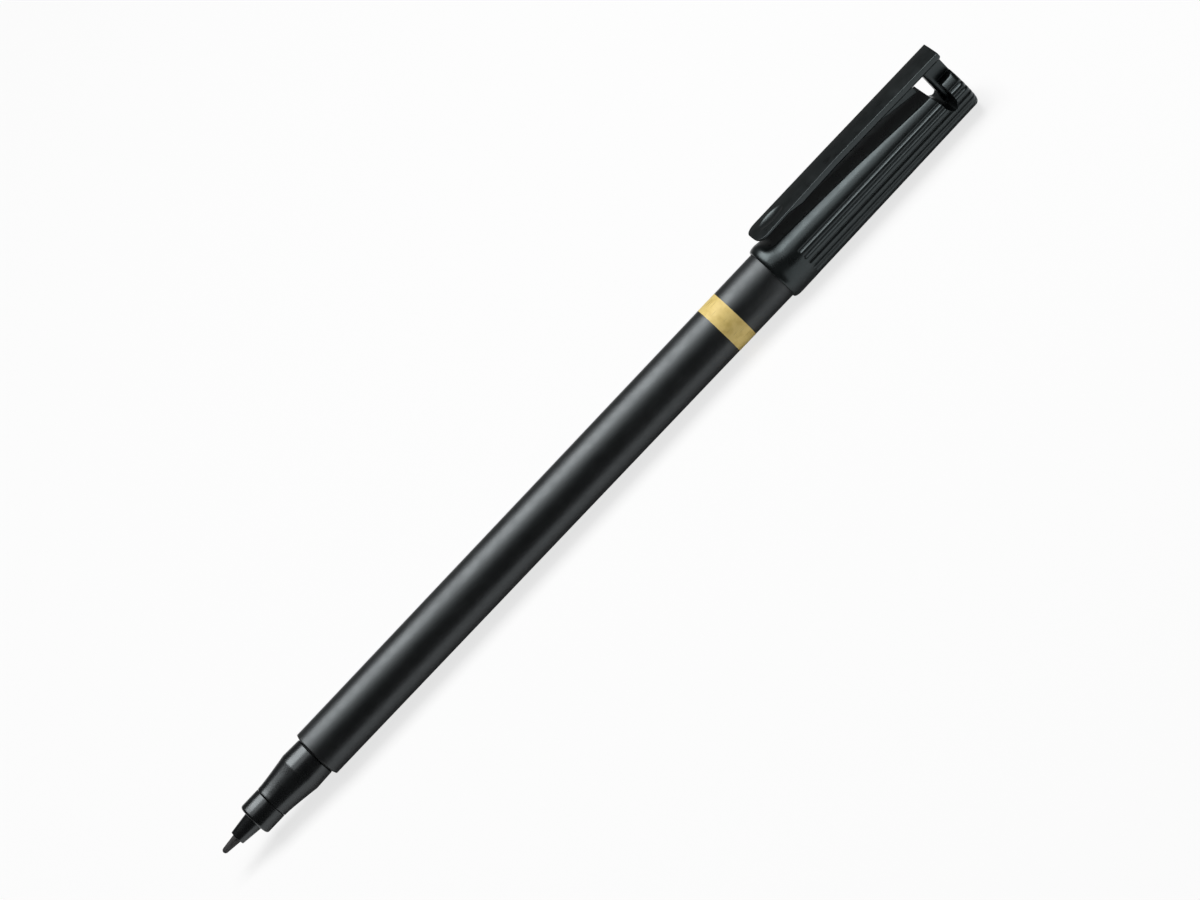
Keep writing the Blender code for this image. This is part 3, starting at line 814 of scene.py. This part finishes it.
def clip_height(station):
    """Height of the clip's outer face above the floor."""
    waist = CLIP_FRONT + CLIP_WAIST_PLACE
    if station < waist:
        share = (station - CLIP_FRONT) / CLIP_WAIST_PLACE
        return AXIS + CLIP_TIP_HEIGHT + share * (CLIP_WAIST_HEIGHT - CLIP_TIP_HEIGHT)
    share = (station - waist) / (HEAD_FRONT - waist)
    return AXIS + CLIP_WAIST_HEIGHT + share * (CLIP_ROOT_HEIGHT - CLIP_WAIST_HEIGHT)


def clip_width(station):
    waist = CLIP_FRONT + CLIP_WAIST_PLACE
    if station < waist:
        share = (station - CLIP_FRONT) / CLIP_WAIST_PLACE
        return CLIP_TIP_WIDTH + share * (CLIP_WAIST_WIDTH - CLIP_TIP_WIDTH)
    share = (station - waist) / (HEAD_FRONT - waist)
    return CLIP_WAIST_WIDTH + share * (CLIP_ROOT_WIDTH - CLIP_WAIST_WIDTH)


def clip_thickness(station):
    share = (station - CLIP_FRONT - CLIP_LIP_LENGTH) / CLIP_STEP_LENGTH
    share = min(max(share, 0.0), 1.0)
    return CLIP_LIP_THICKNESS + share * (CLIP_THICKNESS - CLIP_LIP_THICKNESS)


def clip_stations():
    """Stations where the clip's section changes, from its root to its free end."""
    step_start = CLIP_FRONT + CLIP_LIP_LENGTH
    bend = [HEAD_FRONT + CLIP_BEND_REACH * (1 - 2 * step / CLIP_BEND_STEPS)
            for step in range(CLIP_BEND_STEPS + 1)]
    return [CAP_REAR, *bend, CLIP_FRONT + CLIP_WAIST_PLACE,
            step_start + CLIP_STEP_LENGTH, step_start, CLIP_FRONT]


def make_clip(material):
    """One plate from the cap's end to the clip's free end, with a rib under it."""
    stations = clip_stations()
    root = stations[0]
    middle = (root, 0, clip_height(root) - CLIP_THICKNESS / 2)
    deselect()
    bpy.ops.mesh.primitive_plane_add(size=1, rotation=(0, math.pi / 2, 0), location=middle)
    clip = settle("clip_plate")
    edit(clip)
    bpy.ops.transform.resize(value=(1, clip_width(root), CLIP_THICKNESS), center_override=middle)
    for station, after in zip(stations, stations[1:]):
        middle = clip_height(after) - clip_thickness(after) / 2
        rise = middle - clip_height(station) + clip_thickness(station) / 2
        bpy.ops.mesh.extrude_region_move(
            TRANSFORM_OT_translate={"value": (after - station, 0, rise)})
        bpy.ops.transform.resize(
            value=(1, clip_width(after) / clip_width(station),
                   clip_thickness(after) / clip_thickness(station)),
            center_override=(after, 0, middle))
    choose_edges(clip, lambda first, last: max(first.x, last.x) < CLIP_FRONT + WELD
                 and abs(first.y - last.y) < WELD)
    bpy.ops.mesh.bevel(offset=CLIP_CORNER, segments=ARC_STEPS)
    round_upper_edges(clip)
    close_up()
    crown_outer_face(clip)
    combine(clip, clip_rib(), "UNION")
    combine(clip, clip_hollow(), "DIFFERENCE")
    soften(clip, CLIP_SOFTNESS)
    smooth(clip)
    fit(clip, "clip", None, material)
    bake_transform(clip)


def crown_outer_face(clip):
    """Lowers the clip's outer face towards its sides, so that it is slightly round across."""
    half = CLIP_TIP_WIDTH / 2
    edit(clip)
    for step in range(1, CLIP_CROWN_STEPS):
        bpy.ops.mesh.select_all(action="SELECT")
        bpy.ops.mesh.bisect(plane_co=(0, half * (2 * step / CLIP_CROWN_STEPS - 1), 0),
                            plane_no=(0, 1, 0), threshold=WELD)
    bpy.ops.object.mode_set(mode="OBJECT")
    drops = {}
    for point in clip.data.vertices:
        if point.co.z > clip_height(point.co.x) - (CLIP_LIP_THICKNESS + CLIP_EDGE_ROUND) / 2:
            drop = CLIP_CROWN * (point.co.y / half) ** 2
            drops.setdefault(round(drop / MM, PRESS_DIGITS) * MM, []).append(point.index)
    edit(clip)
    for drop, points in drops.items():
        choose(clip, points)
        bpy.ops.transform.translate(value=(0, 0, -drop))
    bpy.ops.object.mode_set(mode="OBJECT")


def round_upper_edges(clip):
    """Rounds the edges between the clip's outer face and its sides and ends."""
    bpy.ops.mesh.select_all(action="DESELECT")
    mesh = bmesh.from_edit_mesh(clip.data)
    mesh.normal_update()
    for edge in mesh.edges:
        rises = sorted(face.normal.z for face in edge.link_faces)
        if rises[-1] > OUTER_FACE_RISE and rises[0] < SIDE_FACE_RISE:
            edge.select_set(True)
    bpy.ops.mesh.bevel(offset=CLIP_EDGE_ROUND, segments=ARC_STEPS)


def clip_hollow():
    """A shallow oval dish in the outer face, for the thumb that lifts the clip."""
    middle = CLIP_FRONT + HOLLOW_PLACE
    low = clip_height(middle) - HOLLOW_DEPTH
    deselect()
    bpy.ops.mesh.primitive_uv_sphere_add(segments=SIDES // 2, ring_count=SIDES // 4, radius=0.5,
                                         location=(middle, 0, low + HOLLOW_HEIGHT / 2),
                                         scale=(HOLLOW_LENGTH, HOLLOW_WIDTH, HOLLOW_HEIGHT))
    return settle("clip_hollow")


def clip_rib():
    """A wedge under the clip that comes nearer to the cap towards the notch."""
    end = NOTCH_FRONT - NOTCH_FLARE
    start = end - RIB_LENGTH
    low = Vector((start, 0, clip_height(start) - CLIP_THICKNESS))
    high = Vector((end, 0, AXIS + flat_height(end) + RIB_CLEARANCE))
    rib = block("clip_rib", (start, -RIB_WIDTH / 2, high.z),
                (end, RIB_WIDTH / 2, low.z + CLIP_THICKNESS / 2))
    run = high - low
    slope_off(rib, low, (-run.z, 0, run.x))
    return rib


def add_node(tree, kind, inputs, **options):
    """Adds a shader node, sets its options, and sets its inputs or links them to other sockets."""
    node = tree.nodes.new("ShaderNode" + kind)
    for option, value in options.items():
        setattr(node, option, value)
    for name, value in inputs.items():
        if isinstance(value, bpy.types.NodeSocket):
            tree.links.new(value, node.inputs[name])
        else:
            node.inputs[name].default_value = value
    return node


def noise(tree, place, scale, detail=PLAIN_DETAIL):
    """A noise value from 0 to 1 over a place vector."""
    return add_node(tree, "TexNoise", {"Vector": place, "Scale": scale, "Detail": detail}).outputs[0]


def stretched(tree, stretch):
    """The piece's own coordinates, drawn out or pressed together along each axis."""
    place = add_node(tree, "TexCoord", {}).outputs["Object"]
    return add_node(tree, "Mapping", {"Vector": place, "Scale": stretch}).outputs[0]


def spread(tree, value, low, high, limits):
    """Maps a value between two limits to one between low and high."""
    start, end = limits
    return add_node(tree, "MapRange", {"Value": value, "From Min": start, "From Max": end,
                                       "To Min": low, "To Max": high}).outputs[0]


def blend_colour(tree, share, first, second):
    """Goes from the first colour to the second as the share goes from 0 to 1."""
    colours = dict(zip(MIX_COLOURS, (first, second)))
    mix = add_node(tree, "Mix", {"Factor": share, **colours}, data_type="RGBA")
    return mix.outputs[MIXED_COLOUR]


def new_group(name, inputs, outputs):
    """An empty node group with named inputs and outputs, and its two end nodes."""
    group = bpy.data.node_groups.new(name, "ShaderNodeTree")
    for label, kind in inputs.items():
        group.interface.new_socket(label, in_out="INPUT", socket_type="NodeSocket" + kind)
    for label, kind in outputs.items():
        group.interface.new_socket(label, in_out="OUTPUT", socket_type="NodeSocket" + kind)
    return group, group.nodes.new("NodeGroupInput"), group.nodes.new("NodeGroupOutput")


def make_moulded_grain():
    """Moulded plastic: a fine grain of the mould, a cloudy tint and an uneven gloss."""
    group, given, result = new_group(
        "moulded_grain",
        {"Dark": "Color", "Light": "Color", "Roughness": "Float", "Unevenness": "Float",
         "Grain Scale": "Float"},
        {"Color": "Color", "Roughness": "Float", "Height": "Float"})
    place = stretched(group, (1, 1, 1))
    grain = noise(group, place, given.outputs["Grain Scale"], FINE_DETAIL)
    cloud = spread(group, noise(group, place, CLOUD_SCALE, CLOUD_DETAIL), 0, 1, CLOUD_RANGE)
    tint = blend_colour(group, cloud, given.outputs["Dark"], given.outputs["Light"])
    gloss = spread(group, noise(group, place, GLOSS_SCALE, FINE_DETAIL), -1, 1, NOISE_RANGE)
    uneven = add_node(group, "Math", {0: gloss, 1: given.outputs["Unevenness"],
                                      2: given.outputs["Roughness"]}, operation="MULTIPLY_ADD")
    group.links.new(tint, result.inputs["Color"])
    group.links.new(uneven.outputs[0], result.inputs["Roughness"])
    group.links.new(grain, result.inputs["Height"])
    return group


def make_handling():
    """Traces of use: cloudy smudges of the fingers and hair-thin rubbing marks along the pen."""
    group, given, result = new_group(
        "handling", {"Smudge Scale": "Float", "Mark Scale": "Float"},
        {"Smudge": "Float", "Marks": "Float"})
    smudge = noise(group, stretched(group, (1, 1, 1)), given.outputs["Smudge Scale"])
    marks = noise(group, stretched(group, (MARK_STRETCH, 1, 1)), given.outputs["Mark Scale"],
                  MARK_DETAIL)
    group.links.new(spread(group, smudge, 0, 1, SMUDGE_RANGE), result.inputs["Smudge"])
    group.links.new(spread(group, marks, 0, 1, MARK_RANGE), result.inputs["Marks"])
    return group


def use_group(tree, group, inputs):
    node = tree.nodes.new("ShaderNodeGroup")
    node.node_tree = group
    for name, value in inputs.items():
        node.inputs[name].default_value = value
    return node.outputs


def new_material(name, specular=0.5, shine=(1, 1, 1)):
    """A material with a bare shader; what is the same all over is set on the shader itself."""
    material = bpy.data.materials.new(name)
    material.use_nodes = True
    tree = material.node_tree
    shader = tree.nodes["Principled BSDF"]
    shader.inputs["Specular IOR Level"].default_value = specular
    shader.inputs["Specular Tint"].default_value = (*shine, 1)
    return material, tree, shader


def raise_surface(tree, shader, height, depth):
    """Raises the surface by a height value; the bump node is given back."""
    bump = add_node(tree, "Bump", {"Height": height, "Distance": depth})
    tree.links.new(bump.outputs[0], shader.inputs["Normal"])
    return bump


def grey(level, tint=(1, 1, 1)):
    return (*[level * part for part in tint], 1)


def moulded(name, groups, tint, roughness, grain_depth, specular, shine, edge_round=0.0):
    """Black moulded plastic with its grain, its traces of use and, if wanted, softened edges."""
    material, tree, shader = new_material(name, specular, shine)
    grain = use_group(tree, groups["grain"], {
        "Dark": grey(BLACK_LEVEL * DARK_SHARE, tint),
        "Light": grey(BLACK_LEVEL * LIGHT_SHARE, tint),
        "Roughness": roughness, "Unevenness": GLOSS_UNEVENNESS, "Grain Scale": GRAIN_SCALE})
    traces = use_group(tree, groups["handling"],
                       {"Smudge Scale": SMUDGE_SCALE, "Mark Scale": MARK_SCALE})
    worn = blend_colour(tree, traces["Marks"], grain["Color"], grey(BLACK_LEVEL * WORN_SHARE, tint))
    duller = add_node(tree, "Math", {0: traces["Smudge"], 1: SMUDGE_DULLNESS, 2: grain["Roughness"]},
                      operation="MULTIPLY_ADD").outputs[0]
    tree.links.new(worn, shader.inputs["Base Color"])
    tree.links.new(duller, shader.inputs["Roughness"])
    bump = raise_surface(tree, shader, grain["Height"], grain_depth)
    if edge_round:
        soft = add_node(tree, "Bevel", {"Radius": edge_round}, samples=EDGE_SAMPLES)
        tree.links.new(soft.outputs[0], bump.inputs["Normal"])
    return material


def felt(name, dark, light):
    """Bonded fibres that run along the pen, with ink between them."""
    material, tree, shader = new_material(name, FELT_SPECULAR)
    fibre = noise(tree, stretched(tree, (FIBRE_STRETCH, 1, 1)), FIBRE_SCALE, FINE_DETAIL)
    soak = noise(tree, stretched(tree, (1, 1, 1)), SOAK_SCALE)
    tint = blend_colour(tree, spread(tree, fibre, 0, 1, FIBRE_RANGE), grey(dark), grey(light))
    wet = blend_colour(tree, spread(tree, soak, 0, SOAK_SHARE, SOAK_RANGE), tint, grey(dark))
    tree.links.new(wet, shader.inputs["Base Color"])
    tree.links.new(spread(tree, soak, DRY_ROUGHNESS, WET_ROUGHNESS, DRYING_RANGE),
                   shader.inputs["Roughness"])
    raise_surface(tree, shader, fibre, FELT_DEPTH)
    return material


def gold_foil(groups):
    """Hot-stamped foil: a brushed gold that is a little rubbed, with edges that aren't quite even."""
    material, tree, shader = new_material("stamped_foil")
    shader.inputs["Coat Weight"].default_value = FOIL_COAT
    shader.inputs["Coat Roughness"].default_value = FOIL_COAT_ROUGHNESS
    traces = use_group(tree, groups["handling"],
                       {"Smudge Scale": FOIL_SMUDGE_SCALE, "Mark Scale": FOIL_MARK_SCALE})
    gold = blend_colour(tree, traces["Smudge"], GOLD, DULL_GOLD)
    rubbed = blend_colour(tree, traces["Marks"], gold, RUBBED_GOLD)
    place = add_node(tree, "TexCoord", {}).outputs["Object"]
    along = add_node(tree, "SeparateXYZ", {0: place}).outputs[0]
    middle = (BAND_FRONT + BAND_REAR) / 2
    off = add_node(tree, "Math", {0: along, 1: middle}, operation="SUBTRACT").outputs[0]
    off = add_node(tree, "Math", {0: off}, operation="ABSOLUTE").outputs[0]
    ragged = noise(tree, place, FOIL_RAGGED_SCALE, FINE_DETAIL)
    bite = add_node(tree, "Math", {0: ragged, 1: FOIL_RAGGEDNESS, 2: off},
                    operation="MULTIPLY_ADD").outputs[0]
    edge = (BAND_REAR - BAND_FRONT) / 2 + FOIL_RAGGEDNESS * FOIL_FADE
    kept = spread(tree, bite, 1, 0, (edge, edge + FOIL_RAGGEDNESS * FOIL_FADE))
    tree.links.new(blend_colour(tree, kept, grey(UNDER_GOLD), rubbed), shader.inputs["Base Color"])
    metal = add_node(tree, "Math", {0: kept, 1: FOIL_METAL}, operation="MULTIPLY").outputs[0]
    tree.links.new(metal, shader.inputs["Metallic"])
    rough = noise(tree, stretched(tree, (1, FOIL_BRUSH_STRETCH, FOIL_BRUSH_STRETCH)),
                  FOIL_BRUSH_SCALE)
    tree.links.new(spread(tree, rough, FOIL_ROUGHNESS_LOW, FOIL_ROUGHNESS_HIGH, NOISE_RANGE),
                   shader.inputs["Roughness"])
    return material


def natural_plastic():
    """The inner cap's milky plastic."""
    material, tree, shader = new_material("milky_plastic")
    cloud = noise(tree, stretched(tree, (1, 1, 1)), MILKY_CLOUD_SCALE, FINE_DETAIL)
    tree.links.new(blend_colour(tree, cloud, MILKY_DARK, MILKY_LIGHT), shader.inputs["Base Color"])
    tree.links.new(spread(tree, cloud, MILKY_ROUGHNESS_LOW, MILKY_ROUGHNESS_HIGH, NOISE_RANGE),
                   shader.inputs["Roughness"])
    grain = noise(tree, stretched(tree, (1, 1, 1)), MILKY_GRAIN_SCALE)
    raise_surface(tree, shader, grain, MILKY_GRAIN)
    return material


def wrap_film():
    """The thin wrap round the ink reservoir, slightly creased along the pen."""
    material, tree, shader = new_material("clear_wrap")
    crease = noise(tree, stretched(tree, (WRAP_CREASE_STRETCH, 1, 1)), WRAP_CREASE_SCALE)
    tree.links.new(blend_colour(tree, crease, WRAP_DARK, WRAP_LIGHT), shader.inputs["Base Color"])
    tree.links.new(spread(tree, crease, WRAP_ROUGHNESS_LOW, WRAP_ROUGHNESS_HIGH, NOISE_RANGE),
                   shader.inputs["Roughness"])
    raise_surface(tree, shader, crease, WRAP_CREASE)
    return material


def bare_material(name):
    """A material without any nodes yet, and its tree."""
    material = bpy.data.materials.new(name)
    material.use_nodes = True
    material.node_tree.nodes.clear()
    return material, material.node_tree


def make_floor():
    """A pale floor that is mostly plain white to the camera, and a little of it in reflections."""
    deselect()
    bpy.ops.mesh.primitive_plane_add(size=FLOOR_SIZE)
    floor = settle("floor")
    material, tree = bare_material("pale_floor")
    path = add_node(tree, "LightPath", {}).outputs
    mirrored = add_node(tree, "Math", {0: path["Is Glossy Ray"], 1: path["Is Transmission Ray"]},
                        operation="MAXIMUM").outputs[0]
    share = add_node(tree, "Math", {0: mirrored, 1: FLOOR_MIRRORED_WHITE},
                     operation="MULTIPLY").outputs[0]
    shown = add_node(tree, "Math", {0: path["Is Camera Ray"], 1: FLOOR_SHOWN_WHITE, 2: share},
                     operation="MULTIPLY_ADD").outputs[0]
    lit = add_node(tree, "BsdfDiffuse", {"Color": grey(FLOOR_LEVEL)}).outputs[0]
    white = add_node(tree, "Emission", {}).outputs[0]
    mix = add_node(tree, "MixShader", {0: shown, 1: lit, 2: white}).outputs[0]
    add_node(tree, "OutputMaterial", {"Surface": mix})
    floor.data.materials.append(material)


def add_card(name, low, high, level):
    """A glowing card of an even brightness that only reflections see: a painted reflection."""
    card = block(name, low, high)
    material, tree = bare_material(name)
    glow = add_node(tree, "Emission", {"Color": grey(level)}).outputs[0]
    add_node(tree, "OutputMaterial", {"Surface": glow})
    card.data.materials.append(material)
    card.visible_camera = False
    card.visible_diffuse = False
    card.visible_shadow = False
    card.visible_transmission = False


def make_cards():
    half = CARD_LENGTH / 2
    # Painted dark reflection: a glowing black card that darkens the floor's reflection on the pen's
    # lower side
    add_card("painted_dark_reflection_card", (-half, -BLACK_CARD_GAP - BLACK_CARD_DEPTH, 0),
             (CAP_FRONT, -BLACK_CARD_GAP, CARD_THICKNESS), PAINTED_DARK_REFLECTION_LEVEL)
    # Painted reflection: a faintly glowing pale card that lightens reflections from the far side
    add_card("painted_bright_reflection_card", (-half, PALE_CARD_DISTANCE, 0),
             (half, PALE_CARD_DISTANCE + CARD_THICKNESS, PALE_CARD_HEIGHT), PAINTED_BRIGHT_REFLECTION_LEVEL)


def add_softbox(name, lean, width, watts):
    """A soft lamp over the pen, leaning from straight overhead towards the camera's side."""
    light = bpy.data.lights.new(name, "AREA")
    light.shape = "RECTANGLE"
    light.size = SOFTBOX_LENGTH
    light.size_y = width
    light.energy = watts
    lamp = bpy.data.objects.new(name, light)
    bpy.context.scene.collection.objects.link(lamp)
    direction = Vector((0, -math.sin(lean), math.cos(lean)))
    lamp.location = direction * SOFTBOX_DISTANCE + Vector((SOFTBOX_PLACE, 0, 0))
    lamp.rotation_euler = direction.to_track_quat("Z", "Y").to_euler()


def make_light():
    world = bpy.data.worlds.new("studio")
    bpy.context.scene.world = world
    world.use_nodes = True
    world.node_tree.nodes["Background"].inputs["Color"].default_value = grey(ROOM_LEVEL)
    add_softbox("main_softbox", MAIN_LEAN, MAIN_WIDTH, MAIN_WATTS)
    add_softbox("fill_softbox", FILL_LEAN, FILL_WIDTH, FILL_WATTS)


def make_camera():
    towards = Vector((0, -math.cos(CAMERA_ELEVATION), math.sin(CAMERA_ELEVATION)))
    clipward = Vector((0, math.sin(CAMERA_ELEVATION), math.cos(CAMERA_ELEVATION)))
    along = Vector((1, 0, 0))
    right = along * math.cos(PEN_ANGLE) - clipward * math.sin(PEN_ANGLE)
    up = along * math.sin(PEN_ANGLE) + clipward * math.cos(PEN_ANGLE)
    aim = Vector((AIM_STATION, 0, AXIS)) + clipward * AIM_RISE
    data = bpy.data.cameras.new("photo_camera")
    data.sensor_width = SENSOR_WIDTH / MM
    data.lens = SENSOR_WIDTH / MM * CAMERA_DISTANCE / VIEW_WIDTH
    camera = bpy.data.objects.new("photo_camera", data)
    bpy.context.scene.collection.objects.link(camera)
    turn_to = Matrix((right, up, towards)).transposed().to_4x4()
    camera.matrix_world = Matrix.Translation(aim + towards * CAMERA_DISTANCE) @ turn_to
    bpy.context.scene.camera = camera


def main():
    groups = {"grain": make_moulded_grain(), "handling": make_handling()}
    gloss = moulded("gloss_plastic", groups, PLASTIC_TINT, GLOSS_ROUGHNESS, GLOSS_GRAIN,
                    GLOSS_SPECULAR, PLASTIC_SHINE)
    cap_finish = moulded("cap_plastic", groups, CAP_TINT, CAP_ROUGHNESS, CAP_GRAIN,
                         CAP_SPECULAR, CAP_SHINE, CAP_EDGE_ROUND)
    barrel_finish = moulded("barrel_plastic", groups, PLASTIC_TINT, BARREL_ROUGHNESS, BARREL_GRAIN,
                            BARREL_SPECULAR, PLASTIC_SHINE)
    make_camera()
    make_floor()
    make_cards()
    make_light()
    make_nib(felt("nib_felt", NIB_DARK, NIB_LIGHT))
    make_holder(gloss)
    make_section(gloss)
    make_barrel(barrel_finish)
    make_band(gold_foil(groups))
    make_plug(gloss)
    make_liner(natural_plastic())
    make_cap(cap_finish)
    make_clip(cap_finish)
    finish_node("ink_reservoir", felt("inked_fibre", CORE_DARK, CORE_LIGHT))
    finish_node("reservoir_film", wrap_film())
    bpy.context.scene.view_settings.view_transform = "Standard"


main()
